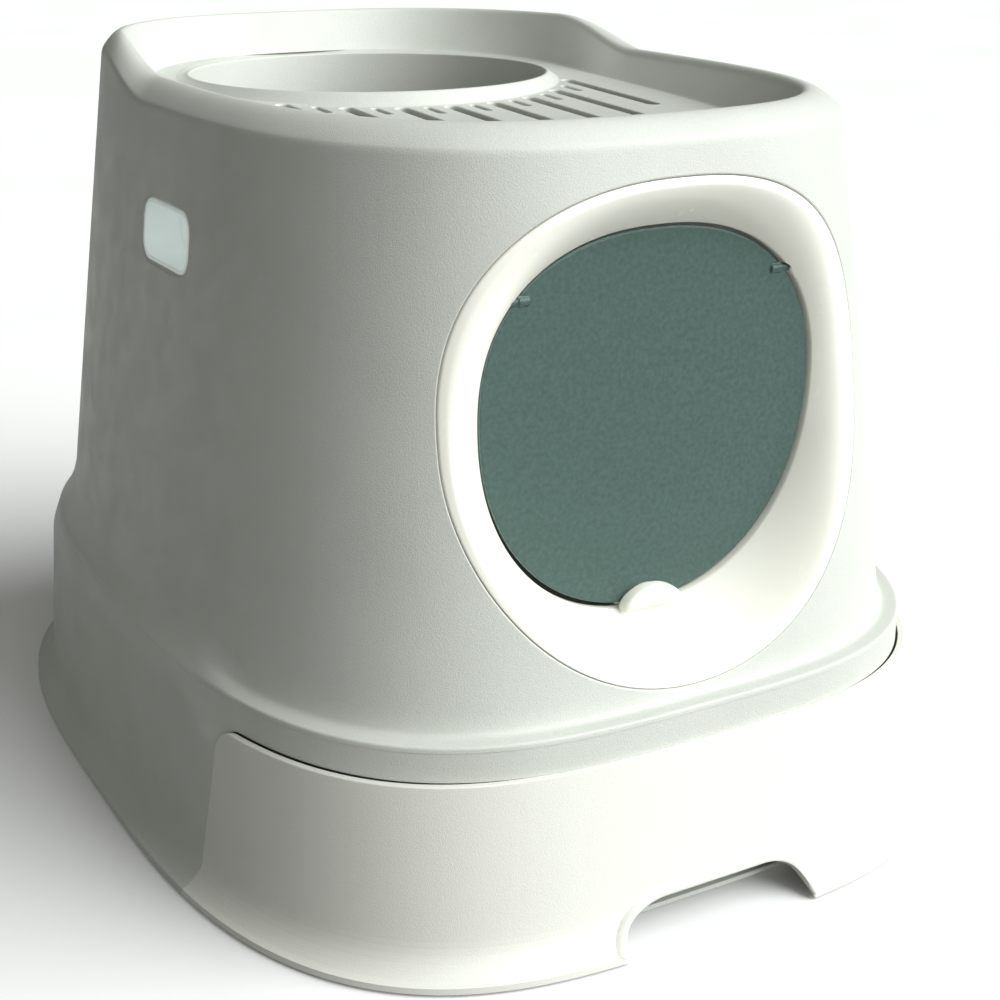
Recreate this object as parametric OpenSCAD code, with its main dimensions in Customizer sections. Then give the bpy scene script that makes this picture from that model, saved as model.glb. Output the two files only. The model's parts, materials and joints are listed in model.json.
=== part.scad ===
// Hooded cat litter box: a base with a front drawer, a lift-off hood with a swing door,
// and a round top entry in a recessed, slotted deck.
// Origin: centre of the footprint, on the surface the box stands on. Front faces -Y.

/* [Base] */
// Half width of the base at its foot flange
base_half_w = 218; // [214:0.5:222]
// Half depth of the base at its foot flange
base_half_d = 288.5; // [284:0.5:292]
// Height of the joint between base and hood
joint_z = 111; // [109:0.5:113]
// Wall thickness of the mouldings
wall = 3; // [2.6:0.1:3.2]
// Underside of the front bar, above the drawer
bar_z = 96.5; // [95.5:0.5:98]

/* [Hood] */
// Half width of the hood wall at its foot
hood_half_w = 191; // [189:0.5:192]
// Height of the hood wall under the front rim
rim_z = 367.8; // [362:0.5:372]
// Height of the rim's bevel
rim_h = 10; // [8:0.5:12]
// Extra height of the rim around the back
rim_rise = 15.2; // [10:0.5:20]
// Upper face of the recessed deck, in front of the top entry
deck_z = 360; // [357:0.5:361]

/* [Top entry] */
// Radius of the round top entry
entry_r = 102; // [98:0.5:103]
// Distance of the top entry's centre behind the middle
entry_y = 81; // [79:0.5:82]
// Width of a long deck slot
slot_w = 7; // [6:0.5:8]

/* [Door] */
// Half width of the flap
flap_half_w = 90.5; // [88:0.5:91]
// Thickness of the flap
flap_t = 2.6; // [2:0.1:3]
// Height of the flap's hinge axis
hinge_z = 301; // [299:0.5:302]
// Distance of the flap's middle plane in front of the middle
flap_y = -215; // [-216:0.5:-214]
// Radius of the hinge pins
pin_r = 2; // [1.8:0.1:2.2]

/* [Drawer] */
// Half width of the litter tray at its rim
tray_half_w = 184; // [180:0.5:185]
// Height of the litter tray's rim
tray_top = 92; // [85:0.5:93]
// Sideways place of the hand notch's middle
notch_x = 3; // [-10:1:10]

/* [Hidden] */

grey = [0.73, 0.74, 0.72];
white = [0.95, 0.95, 0.93];
smoke = [0.33, 0.45, 0.43];
dark = [0.15, 0.15, 0.15];
steel = [0.7, 0.7, 0.72];

around = 80;        // meridians round the hood and the base
round_door = 64;    // points round the door outlines
$fn = 40;

// ---------------------------------------------------------------- plan outlines
// An outline is [half width, front half depth, back half depth, front power, back power, middle y].

function mix(a, b, w) = a * (1 - w) + b * w;
function smooth(x) = let (c = max(0, min(1, x))) c * c * (3 - 2 * c);
function grown(o, d) = [o[0] + d, o[1] + d, o[2] + d, o[3], o[4], o[5]];
function polar_r(t, a, b, n) = pow(pow(abs(cos(t)) / a, n) + pow(abs(sin(t)) / b, n), -1 / n);
function plan_pt(t, o) =
    let (front = sin(t) < 0)
    let (r = polar_r(t, o[0], front ? o[1] : o[2], front ? o[3] : o[4]))
    [r * cos(t), o[5] + r * sin(t)];
function at_z(p, z) = [p.x, p.y, z];

joint_outline = [hood_half_w + 9, base_half_d - 20.1, base_half_d - 24.5, 3.235, 2.8, 0];

// How far a meridian belongs to the front, from 0 at the sides and back to 1 at the front
function frontness(t) = smooth((-plan_pt(t, joint_outline).y - 112) / 50);

// ---------------------------------------------------------------- lofted solids

// Rings joined in order; closed joins the last ring to the first, otherwise both ends are capped.
module loft(rings, closed = true) {
    n = len(rings[0]);
    m = len(rings);
    last = closed ? m - 1 : m - 2;
    sides = [
        for (j = [0:last]) for (i = [0:n - 1])
            let (a = j * n + i, b = j * n + (i + 1) % n)
            let (c = ((j + 1) % m) * n + (i + 1) % n, d = ((j + 1) % m) * n + i)
            each [[c, b, a], [d, c, a]]
    ];
    ends = closed ? [] : [
        [for (i = [0:n - 1]) i],
        [for (i = [n - 1:-1:0]) (m - 1) * n + i]
    ];
    polyhedron(points = [for (r = rings) each r], faces = concat(sides, ends));
}

// ---------------------------------------------------------------- base

base_low_z = 24;
base_high_z = 100;
base_low = [base_half_w - 10.5, base_half_d - 11, base_half_d - 11.6, 3.3, 2.92, 0];
base_high = [base_half_w - 14.8, base_half_d - 18.5, base_half_d - 21.5, 3.33, 2.84, 0];
foot_flare = [[0, 9.1], [4.5, 9.1], [5.5, 6.9], [8, 4.3], [12, 1.8], [17, 0.4], [24, 0]];

function base_outline(z) =
    grown(mix(base_low, base_high, (z - base_low_z) / (base_high_z - base_low_z)),
          lookup(z, foot_flare));

// Above the drawer the wall is upright at the front and bevelled at the sides and back.
function base_top_pt(t, z, d) =
    let (bevel = max(0, (z - base_high_z) / (joint_z - base_high_z)))
    let (side = z < base_high_z ? base_outline(z) : mix(base_outline(base_high_z), joint_outline, bevel))
    mix(plan_pt(t, grown(side, d)), plan_pt(t, grown(joint_outline, d)), frontness(t));

function base_ring(z, d = 0) =
    [for (i = [0:around - 1])
        let (t = i * 360 / around)
        at_z(z < 90 ? plan_pt(t, grown(base_outline(z), d)) : base_top_pt(t, z, d), z)];

floor_z = 4;
floor_t = 2.5;
flange_z = 1;

// Seam between the base and the drawer front: it leans back towards its foot.
function seam_y(z) = -130.4 - 0.18 * z;
seam_r = 14;

module seam_prism(gap, half_w = 260) {
    top = bar_z - gap;
    mid_y = seam_y(top - seam_r) - seam_r - gap;
    profile = concat(
        [[-340, -10], [seam_y(-10) - gap, -10]],
        [for (a = [0:10:90]) [mid_y + seam_r * cos(a), top - seam_r + seam_r * sin(a)]],
        [[-340, top]]
    );
    translate([-half_w, 0, 0])
        rotate([90, 0, 90])
            linear_extrude(2 * half_w) polygon(profile);
}

module base_walls() {
    outer = [flange_z, 4.5, 5.5, 8, 12, 17, 24, 60, 94, base_high_z, joint_z];
    inner = [joint_z, base_high_z, 94, 60, 24, 17, 12, 8, flange_z];
    difference() {
        loft(concat([for (z = outer) base_ring(z)], [for (z = inner) base_ring(z, -wall)]));
        seam_prism(0);
    }
}

module front_rib() {
    outer = [for (p = base_ring(98, -wall / 2)) [p.x, p.y]];
    inner = [for (p = base_ring(98, -14)) [p.x, p.y]];
    translate([0, 0, bar_z])
        linear_extrude(2.5)
            difference() {
                polygon(outer);
                polygon(inner);
                translate([-300, -150]) square([600, 500]);
            }
}

module base_floor() {
    wide = [for (p = base_ring(6, -wall / 2)) [p.x, p.y]];
    ahead = [for (p = base_ring(60, -14)) [p.x, p.y]];
    translate([0, 0, floor_z])
        linear_extrude(floor_t)
            union() {
                difference() {
                    polygon(wide);
                    translate([-300, -420]) square([600, 290]);
                }
                difference() {
                    polygon(ahead);
                    translate([-300, -120]) square([600, 500]);
                }
            }
}

rail_screw_y = [-110, 0, 120];
rail_screw_x = 188;

module base_frame() {
    color(grey)
        difference() {
            union() {
                base_walls();
                front_rib();
                base_floor();
            }
            for (side = [-1, 1]) for (y = rail_screw_y)
                translate([side * rail_screw_x, y, floor_z - 1]) cylinder(r = 1.3, h = floor_t + 2);
        }
}

foot_x = 140;
foot_y = 195;

module foot(side_x, side_y) {
    color(dark)
        translate([side_x * foot_x, side_y * foot_y, 0]) {
            cylinder(r1 = 10, r2 = 11, h = 1.2);
            translate([0, 0, 1.2]) cylinder(r = 11, h = floor_z - 1.2);
        }
}

// ---------------------------------------------------------------- drawer rails

rail_top = floor_z + floor_t + 2.3;
rail_front = -128;
rail_back = 140;

module rail(side) {
    length = rail_back - rail_front;
    color(white)
        difference() {
            union() {
                translate([side * 176 - 16, rail_front, floor_z + floor_t])
                    cube([32, length, rail_top - floor_z - floor_t]);
                translate([side * 182.75 - 1.25, rail_front, floor_z + floor_t])
                    cube([2.5, length, 17.5]);
            }
            for (y = rail_screw_y)
                translate([side * rail_screw_x, y, floor_z]) cylinder(r = 1.6, h = 10);
        }
}

module rail_screw() {
    translate([0, 0, rail_top]) {
        cylinder(r = 2.8, h = 1.6);
        translate([0, 0, -5.2]) cylinder(r = 1.3, h = 5.3);
    }
}

module rail_screws() {
    color(steel)
        for (side = [-1, 1]) for (y = rail_screw_y)
            translate([side * rail_screw_x, y, 0]) rail_screw();
}

// ---------------------------------------------------------------- drawer

tray_low = [tray_half_w - 6, 254, 230, 3.3, 3.4, 0];
tray_high = [tray_half_w, 261, 237, 3.3, 3.4, 0];
tray_bottom = rail_top + 0.2;
tray_t = 2.6;

function tray_ring(z, d) =
    let (o = grown(mix(tray_low, tray_high, (z - tray_bottom) / (tray_top - tray_bottom)), d))
    [for (i = [0:around - 1]) at_z(plan_pt(i * 360 / around, o), z)];

drawer_screw_x = [-80, 80];
drawer_screw_z = [38, 72];

module drawer_screw_holes(r, y0, y1) {
    for (x = drawer_screw_x) for (z = drawer_screw_z)
        translate([x, y1, z]) rotate([90, 0, 0]) cylinder(r = r, h = y1 - y0);
}

module litter_tray() {
    color(grey)
        difference() {
            loft([
                tray_ring(tray_bottom, -4), tray_ring(tray_bottom + 1.2, -1.2),
                tray_ring(tray_bottom + 4, 0), tray_ring(tray_top - 5, 0),
                tray_ring(tray_top - 4, 3), tray_ring(tray_top - 0.8, 3.4),
                tray_ring(tray_top, 2.6), tray_ring(tray_top, -1.6), tray_ring(tray_top - 1, -tray_t),
                tray_ring(tray_bottom + 7, -tray_t), tray_ring(tray_bottom + 3.6, -tray_t - 2),
                tray_ring(tray_bottom + tray_t, -tray_t - 6)
            ], closed = false);
            drawer_screw_holes(2.1, -290, -240);
        }
}

drawer_foot = 1.5;
drawer_top = bar_z - 0.5;

// The hand notch: a flat top between two round shoulders
module hand_notch() {
    half_top = 28;
    half_foot = 54;
    top = 23;
    shoulder = [for (a = [0:10:90]) [half_top + (half_foot - half_top) * cos(a), top * sin(a)]];
    profile = concat(
        [[half_foot, -10]],
        shoulder,
        [for (i = [len(shoulder) - 1:-1:0]) [-shoulder[i].x, shoulder[i].y]],
        [[-half_foot, -10]]
    );
    translate([notch_x, -255, 0])
        rotate([90, 0, 0])
            linear_extrude(60) polygon(profile);
}

module drawer_front() {
    outer = [drawer_foot, 4.5, 5.5, 8, 12, 17, 24, 60];
    inner = [60, 24, 17, 12, 8, drawer_foot];
    rings = concat(
        [for (z = outer) drawer_ring(z)],
        [drawer_ring(drawer_top - 1, 0), drawer_ring(drawer_top, -1), drawer_ring(drawer_top, -wall)],
        [for (z = inner) drawer_ring(z, -wall)]
    );
    color(white)
        difference() {
            union() {
                intersection() {
                    loft(rings);
                    seam_prism(0.6);
                }
                for (x = drawer_screw_x) for (z = drawer_screw_z)
                    translate([x, drawer_boss_y(x, z), z])
                        rotate([90, 0, 0]) cylinder(r = 5, h = drawer_boss_y(x, z) - drawer_wall_y(x, z));
            }
            hand_notch();
            drawer_screw_holes(1.7, -268, -240);
        }
}

function drawer_ring(z, d = 0) =
    [for (i = [0:around - 1]) at_z(plan_pt(i * 360 / around, grown(base_outline(z), d)), z)];

// Outer face of the tray's front wall at a given place
function tray_front_y(x, z) =
    let (o = mix(tray_low, tray_high, (z - tray_bottom) / (tray_top - tray_bottom)))
    -o[1] * pow(1 - pow(abs(x) / o[0], o[3]), 1 / o[3]);
function drawer_boss_y(x, z) = tray_front_y(x, z) - 1.6;
// Middle of the drawer front's wall
function drawer_wall_y(x, z) =
    let (o = grown(base_outline(z), -wall / 2))
    -o[1] * pow(1 - pow(abs(x) / o[0], o[3]), 1 / o[3]);

module drawer_screws() {
    color(steel)
        for (x = drawer_screw_x) for (z = drawer_screw_z)
            translate([x, tray_front_y(x, z) + tray_t + 1.5, z])
                rotate([90, 0, 0]) {
                    translate([0, 0, -2]) cylinder(r = 3.6, h = 2);
                    cylinder(r = 1.7, h = 10);
                }
}

// ---------------------------------------------------------------- hood

foot_z = 113.9;
wall_low = [hood_half_w, base_half_d - 28.8, base_half_d - 33.5, 3.235, 2.8, 0];
wall_high = [hood_half_w - 30.2, base_half_d - 67.6, base_half_d - 63.3, 2.887, 2.84, -13.7];

function wall_outline(z) = mix(wall_low, wall_high, (z - foot_z) / (rim_z - foot_z));
function wall_pt(t, z, d) = at_z(plan_pt(t, grown(wall_outline(z), d)), z);

// Front wall of the hood, at a depth below its face
function wall_y(x, z, depth) =
    let (o = grown(wall_outline(z), -depth))
    o[5] - o[1] * pow(1 - pow(abs(x) / o[0], o[3]), 1 / o[3]);

// The rim climbs towards the back; its outer edge starts to climb further forward than its crest.
crest_inset = 15.5;
function climb(t, d) =
    smooth((plan_pt(t, wall_high).y - mix(3, 25, min(1, d / crest_inset))) / 85);
function rim_inset(t, d) = d * (1 - 0.3 * climb(t, crest_inset));

// Foot of the hood: [side height, side offset, front height, front offset] below each ring
foot_rows = [
    [0, 9, 0, 9], [1.6, 8.3, 2.5, 9], [5, 6.2, 2.9, 8.6], [9, 4.3, 3.1, 1.1],
    [14, 2.5, 4.2, 0.2], [20, 1, 9, 0], [29, 0, 29, 0]
];
lip_rows = [
    [29, -3, 29, -3], [17, -2.4, 7, -3], [8, -0.2, 2.2, -2], [1, 1.5, 1, 1.5],
    [-6, 1.5, -6, 1.5], [-6, 4.5, -6, 4.5], [0, 4.5, 0, 4.5]
];

function foot_ring(row) =
    [for (i = [0:around - 1])
        let (t = i * 360 / around, w = frontness(t))
        let (z = joint_z + mix(row[0], row[2], w), d = mix(row[1], row[3], w))
        at_z(plan_pt(t, grown(wall_outline(max(z, foot_z)), d)), z)];

function plain_ring(z, d) = [for (i = [0:around - 1]) wall_pt(i * 360 / around, z, d)];

// A ring of the rim: inset from the wall, and height above the wall's top edge
function rim_ring(d, dz) =
    [for (i = [0:around - 1])
        let (t = i * 360 / around, up = rim_rise * climb(t, d))
        at_z(wall_pt(t, rim_z + up, -rim_inset(t, d)), rim_z + dz + up)];

// The deck slopes up towards the back, and its edge lies closer to the wall there.
deck_slope = 0.04;
deck_t = 3;
function deck_height(y) = deck_z + deck_slope * (y + 31);
function deck_inset(t) = 25 + 9 * smooth((140 - plan_pt(t, wall_high).y) / 90);
function deck_ring(d, dz) =
    [for (i = [0:around - 1])
        let (t = i * 360 / around, p = wall_pt(t, rim_z, -deck_inset(t) - d))
        at_z(p, deck_height(p.y) + dz)];

hood_bands = [200, 280, 340];

module hood_walls() {
    rings = concat(
        [for (row = foot_rows) foot_ring(row)],
        [for (z = hood_bands) plain_ring(z, 0)],
        [rim_ring(0, 0), rim_ring(2.5, 2.8), rim_ring(7, 6.4), rim_ring(12, rim_h - 0.9)],
        [rim_ring(crest_inset, rim_h), rim_ring(18, rim_h - 1), rim_ring(19.8, rim_h - 4)],
        [deck_ring(-1.5, 2), deck_ring(0, 0.6)],
        [deck_ring(0, -deck_t - 1), deck_ring(-3.6, -deck_t - 1)],
        [rim_ring(17.3, rim_h - 5), rim_ring(14, rim_h - 3.2), rim_ring(5, 2), rim_ring(wall, -2)],
        [for (i = [len(hood_bands) - 1:-1:0]) plain_ring(hood_bands[i], -wall)],
        [for (row = lip_rows) foot_ring(row)]
    );
    loft(rings);
}

slot_pitch = 13.2;
slot_count = 16;

// Back end of the slots: a circle round the entry
function slot_back(x) = entry_y - sqrt(pow(entry_r + 13, 2) - x * x);

// Long wide slots and short narrow ones take turns.
module deck_slot(i) {
    x = (i - (slot_count - 1) / 2) * slot_pitch;
    width = i % 2 == 1 ? slot_w : slot_w / 2;
    length = i % 2 == 1 ? 88 : 16;
    back = slot_back(x);
    translate([x - width / 2, back - length, deck_z - 20]) cube([width, length, 40]);
    for (y = [back - length, back])
        translate([x, y, deck_z - 20]) cylinder(r = width / 2, h = 40);
}

module deck() {
    edge = [for (p = deck_ring(-2, 0)) [p.x, p.y]];
    difference() {
        union() {
            multmatrix([[1, 0, 0, 0], [0, 1, 0, 0], [0, deck_slope, 1, deck_height(0) - deck_t]])
                linear_extrude(deck_t) polygon(edge);
            translate([0, entry_y, 0])
                rotate_extrude($fn = 96)
                    polygon([
                        [entry_r + 8, deck_z - deck_t], [entry_r + 8, deck_z + 0.1],
                        [entry_r + 3, deck_z + 6.6], [entry_r + 1.8, deck_z + 7.4],
                        [entry_r + 0.6, deck_z + 7.2], [entry_r, deck_z + 6.4],
                        [entry_r, deck_z - 20], [entry_r + 2.5, deck_z - 20],
                        [entry_r + 4, deck_z - deck_t]
                    ]);
        }
        translate([0, entry_y, deck_z - 20]) cylinder(r = entry_r, h = 40, $fn = 96);
        for (i = [0:slot_count - 1]) deck_slot(i);
    }
}

handle_y = -36;
handle_z = 308;
handle_l = 64;
handle_h = 31;

function rounded_rect(w, h, r) =
    [for (q = [0:3]) for (a = [0:15:90])
        let (sx = (q == 0 || q == 3) ? 1 : -1, sy = q < 2 ? 1 : -1)
        [sx * (w / 2 - r) + r * cos(q * 90 + a), sy * (h / 2 - r) + r * sin(q * 90 + a)]];

// Rounded bar along X through the left handle
module handle_bar(extra, x0, x1) {
    translate([x0, handle_y, handle_z])
        rotate([90, 0, 90])
            linear_extrude(x1 - x0)
                polygon(rounded_rect(handle_l + 2 * extra, handle_h + 2 * extra, 11 + extra));
}

module hood_core(depth) {
    loft([plain_ring(hood_bands[1], -depth), plain_ring(hood_bands[2], -depth)], closed = false);
}

module hood_shell() {
    color(grey)
        union() {
            difference() {
                hood_walls();
                door_prism(door_outline(0.35), -300, -190);
                handle_bar(0, -200, -130);
                mirror([1, 0, 0]) handle_bar(0, -200, -130);
            }
            deck();
        }
}

module handle_cup() {
    color(white)
        difference() {
            intersection() {
                handle_bar(-0.3, -200, -146);
                hood_core(0.3);
            }
            handle_bar(-2.4, -200, -148.4);
        }
}

// ---------------------------------------------------------------- door

// A door outline is [half width, height above and below its middle, upper and lower power, middle z].
door_outer = [114.3, 112.9, 119.1, 2.44, 2, 239];
door_inner = [flap_half_w + 1.2, 81, 102.9, 2.32, 2.145, 247.4];
flap_edge = [flap_half_w, 79.3, 100.5, 2.32, 2.145, 247.4];

function door_pt(f, o, d = 0) =
    let (up = sin(f) > 0)
    let (r = polar_r(f, o[0] + d, (up ? o[1] : o[2]) + d, up ? o[3] : o[4]))
    [r * cos(f), o[5] + r * sin(f)];
function door_outline(d) = [for (i = [0:round_door - 1]) door_pt(i * 360 / round_door, door_outer, d)];
function raised(p, y) = [p.x, y, p.y];

module door_prism(points, y0, y1) {
    translate([0, y1, 0])
        rotate([90, 0, 0])
            linear_extrude(y1 - y0) polygon(points);
}

lip_y = flap_y - 2.5;
tunnel_y = flap_y + 16;
flare = 0.42;

function funnel_pt(f, s) = mix(door_pt(f, door_outer), door_pt(f, door_inner), s);
function funnel_y(p, s) = mix(wall_y(p.x, p.y, 0), lip_y, pow(max(0, (s - 0.14) / 0.86), 1.25));

function funnel_ring(s, behind = 0) =
    [for (i = [0:round_door - 1])
        let (p = funnel_pt(i * 360 / round_door, s))
        raised(p, funnel_y(p, s) + behind)];
function flange_ring(d, depth) =
    [for (i = [0:round_door - 1])
        let (p = door_pt(i * 360 / round_door, door_outer, d))
        raised(p, wall_y(p.x, p.y, depth))];
function tunnel_ring(d, y) =
    [for (i = [0:round_door - 1]) raised(door_pt(i * 360 / round_door, door_inner, d), y)];

bezel_screw_angles = [-150, -110, -70, -30, 30, 150];
ear_x = 77;
hinge_relief_r = 3.5;

module bezel_body() {
    loft([
        flange_ring(0, 0.2), funnel_ring(0.02), funnel_ring(0.14), funnel_ring(0.25), funnel_ring(0.4),
        funnel_ring(0.6), funnel_ring(0.8), funnel_ring(1),
        tunnel_ring(0, flap_y + 2), tunnel_ring(flare * 14, tunnel_y),
        tunnel_ring(flare * 14 + 2.4, tunnel_y),
        tunnel_ring(3.4, flap_y + 5), funnel_ring(0.8, 5), funnel_ring(0.4, 4.6),
        flange_ring(-3, 6), flange_ring(8, 6), flange_ring(8, wall + 0.4), flange_ring(0, wall + 0.4)
    ]);
}

module door_bezel() {
    color(white)
        difference() {
            union() {
                bezel_body();
                for (side = [-1, 1])
                    translate([side * (ear_x + 3.8), flap_y, hinge_z])
                        rotate([0, 90, 0]) cylinder(r = pin_r + 1.8, h = 7.6, center = true);
                translate([-11, flap_y - 7, 134]) cube([22, 15, 9]);
            }
            for (side = [-1, 1])
                translate([side * (ear_x + 0.5), flap_y, hinge_z])
                    rotate([0, 90, 0]) cylinder(r = pin_r + 0.05, h = 11, center = true);
            for (side = [-1, 1])
                translate([side * (ear_x - 4), flap_y, hinge_z])
                    rotate([0, 90, 0]) cylinder(r = hinge_relief_r, h = 6, center = true);
            translate([-8.1, flap_y - 5.1, 135.9]) cube([16.2, 11.2, 5.2]);
            for (f = bezel_screw_angles) {
                p = door_pt(f, door_outer, 5);
                translate([p.x, wall_y(p.x, p.y, 0) + 12, p.y])
                    rotate([90, 0, 0]) cylinder(r = 1.6, h = 12);
            }
        }
}

module bezel_screws() {
    color(steel)
        for (f = bezel_screw_angles) {
            p = door_pt(f, door_outer, 5);
            translate([p.x, wall_y(p.x, p.y, 6) + 2.4, p.y])
                rotate([90, 0, 0]) {
                    translate([0, 0, -1.8]) cylinder(r = 2.8, h = 1.8);
                    cylinder(r = 1.5, h = 6.9);
                }
        }
}

module sill_magnet() {
    color(steel)
        translate([-8, flap_y - 5, 136]) cube([16, 11, 5]);
}

barrel_x = 71.4;

// Half-round outline of the magnet holder
function dome(half_w, height, z0) =
    [for (a = [0:9:180]) [half_w * cos(a), z0 + height * sin(a)]];

holder_z = 146;

module door_flap() {
    color(smoke)
        difference() {
            union() {
                difference() {
                    door_prism([for (i = [0:round_door - 1]) door_pt(i * 360 / round_door, flap_edge)],
                               flap_y - flap_t / 2, flap_y + flap_t / 2);
                    door_prism(dome(13.2, 9.8, holder_z), flap_y - 5, flap_y + 5);
                }
                for (side = [-1, 1])
                    translate([side * (barrel_x - 3), flap_y, hinge_z])
                        rotate([0, 90, 0]) cylinder(r = pin_r + 0.7, h = 6, center = true);
            }
            for (side = [-1, 1])
                translate([side * (barrel_x + 2.2), flap_y, hinge_z])
                    rotate([0, 90, 0]) cylinder(r = pin_r, h = 15.2, center = true);
        }
}

module hinge_pin(side) {
    color(smoke)
        translate([side * (barrel_x + 2.2), flap_y, hinge_z])
            rotate([0, 90, 0]) cylinder(r = pin_r, h = 15.2, center = true);
}

module magnet_holder() {
    front = flap_y - 11;
    plate = flap_t / 2;
    color(white)
        difference() {
            union() {
                door_prism(dome(16.5, 12, holder_z), front, flap_y - plate);
                door_prism(dome(13, 9.6, holder_z), flap_y - plate - 1, flap_y + plate + 1);
                door_prism(dome(15, 11, holder_z), flap_y + plate, flap_y + plate + 4);
            }
            translate([-7.05, front + 1.95, holder_z + 1.95]) cube([14.1, 6.1, 5.1]);
        }
}

module flap_magnet() {
    color(steel)
        translate([-7, flap_y - 9, holder_z + 2]) cube([14, 6, 5]);
}

base_frame();
foot(-1, -1);  // foot_front_left
foot(1, -1);  // foot_front_right
foot(-1, 1);  // foot_rear_left
foot(1, 1);  // foot_rear_right
rail(-1);  // rail_left
rail(1);  // rail_right
rail_screws();
litter_tray();
drawer_front();
drawer_screws();
hood_shell();
handle_cup();  // handle_cup_left
mirror([1, 0, 0]) handle_cup();  // handle_cup_right
door_bezel();
bezel_screws();
sill_magnet();
door_flap();
hinge_pin(-1);  // hinge_pin_left
hinge_pin(1);  // hinge_pin_right
magnet_holder();
flap_magnet();
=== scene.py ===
"""Looks of the hooded cat litter box: moulded shells, swing door, materials, light and camera.

Sizes are in millimetres inside the shape functions and become metres when a mesh is made.
The frame is the CAD model's: Z up, the door faces -Y, the floor is Z = 0.
"""

import json
import math

import bmesh
import bpy
import numpy as np
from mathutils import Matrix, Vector


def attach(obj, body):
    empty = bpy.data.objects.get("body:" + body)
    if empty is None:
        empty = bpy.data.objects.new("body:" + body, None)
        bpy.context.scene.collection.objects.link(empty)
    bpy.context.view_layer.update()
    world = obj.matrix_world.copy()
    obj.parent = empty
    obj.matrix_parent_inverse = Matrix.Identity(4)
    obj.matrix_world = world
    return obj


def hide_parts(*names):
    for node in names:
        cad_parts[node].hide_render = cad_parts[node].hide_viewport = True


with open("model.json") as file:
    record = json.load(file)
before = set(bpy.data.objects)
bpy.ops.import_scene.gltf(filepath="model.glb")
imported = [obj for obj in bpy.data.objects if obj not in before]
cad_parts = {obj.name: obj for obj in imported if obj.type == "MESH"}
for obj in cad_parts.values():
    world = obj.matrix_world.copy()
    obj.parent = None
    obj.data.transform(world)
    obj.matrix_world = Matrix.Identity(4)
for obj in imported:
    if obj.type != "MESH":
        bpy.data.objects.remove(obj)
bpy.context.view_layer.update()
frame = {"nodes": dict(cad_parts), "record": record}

MM = 0.001
AROUND = 480  # meridians round the hood and the base
DOOR_AROUND = 256  # points round the door outlines

# ---------------------------------------------------------------- plan outlines
# An outline is [half width, front half depth, back half depth, front power, back power, middle y].


def mix(a, b, w):
    return a * (1 - w) + b * w


def smooth(x):
    c = np.clip(x, 0, 1)
    return c * c * (3 - 2 * c)


def mix_outlines(low, high, w):
    return [mix(a, b, w) for a, b in zip(low, high)]


def outline_at(t, o, grow=0.0):
    """Points of an outline at polar angles t, grown by a distance."""
    front = np.sin(t) < 0
    a = o[0] + grow
    b = np.where(front, o[1], o[2]) + grow
    n = np.where(front, o[3], o[4])
    r = ((np.abs(np.cos(t)) / a) ** n + (np.abs(np.sin(t)) / b) ** n) ** (-1 / n)
    return r * np.cos(t), o[5] + r * np.sin(t)


T = np.linspace(0, 2 * math.pi, AROUND, endpoint=False)

JOINT_Z = 111.0
JOINT = [200, 268.4, 264, 3.235, 2.8, 0]
frontness = smooth((-outline_at(T, JOINT)[1] - 112) / 50)


def ring(x, y, z):
    return np.stack([x, y, np.broadcast_to(z, np.shape(x))], axis=-1)


# ---------------------------------------------------------------- mesh helpers


def quads(rows, columns, wrap_rows, wrap_columns):
    i = np.arange(rows if wrap_rows else rows - 1)[:, None]
    j = np.arange(columns if wrap_columns else columns - 1)[None, :]
    up, across = (i + 1) % rows, (j + 1) % columns
    corners = [i * columns + j, i * columns + across, up * columns + across, up * columns + j]
    return np.stack(np.broadcast_arrays(*corners), axis=-1).reshape(-1, 4)


def mesh_object(name, points, faces):
    """Makes an object from points in millimetres, with its normals facing outwards."""
    mesh = bpy.data.meshes.new(name)
    mesh.from_pydata((np.asarray(points) * MM).tolist(), [], [list(map(int, f)) for f in faces])
    bm = bmesh.new()
    bm.from_mesh(mesh)
    bmesh.ops.recalc_face_normals(bm, faces=bm.faces)
    bm.to_mesh(mesh)
    bm.free()
    obj = bpy.data.objects.new(name, mesh)
    bpy.context.scene.collection.objects.link(obj)
    return obj


def loft(name, rings, closed=True):
    """Joins rings in order: a closed loft joins last to first, an open one gets two caps."""
    rings = np.asarray(rings)
    rows, columns = rings.shape[:2]
    points = rings.reshape(-1, 3)
    faces = quads(rows, columns, closed, True).tolist()
    if not closed:
        for row in (0, rows - 1):
            centre = len(points)
            points = np.vstack([points, rings[row].mean(axis=0)])
            ids = row * columns + np.arange(columns)
            faces += [[a, b, centre] for a, b in zip(ids, np.roll(ids, -1))]
    return mesh_object(name, points, faces)


def strip(name, lines):
    """Closed bar from lines that run along it, with a flat face at each end."""
    lines = np.asarray(lines)
    rows, columns = lines.shape[:2]
    faces = quads(rows, columns, True, False).tolist()
    faces += [[row * columns + end for row in range(rows)] for end in (0, columns - 1)]
    return mesh_object(name, lines.reshape(-1, 3), faces)


def rounded(rings, radii, closed=True, steps=4):
    """Rounds the corners of a stack of rings: each ring with a radius becomes a small curve."""
    rings = np.asarray(rings, dtype=float)
    out = []
    for k, radius in enumerate(radii):
        here = rings[k]
        if radius <= 0:
            out.append(here)
            continue
        ends = []
        for neighbour in (rings[k - 1], rings[(k + 1) % len(rings)]):
            away = neighbour - here
            length = np.maximum(np.linalg.norm(away, axis=-1, keepdims=True), 1e-6)
            ends.append(here + away / length * np.minimum(radius, 0.48 * length))
        for s in np.linspace(0, 1, steps + 1):
            out.append((1 - s) ** 2 * ends[0] + 2 * s * (1 - s) * here + s * s * ends[1])
    return np.asarray(out)


def between(a, b, count):
    """Rings evenly spaced between two rings, without the two."""
    return [mix(a, b, w) for w in np.linspace(0, 1, count + 2)[1:-1]]


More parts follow.
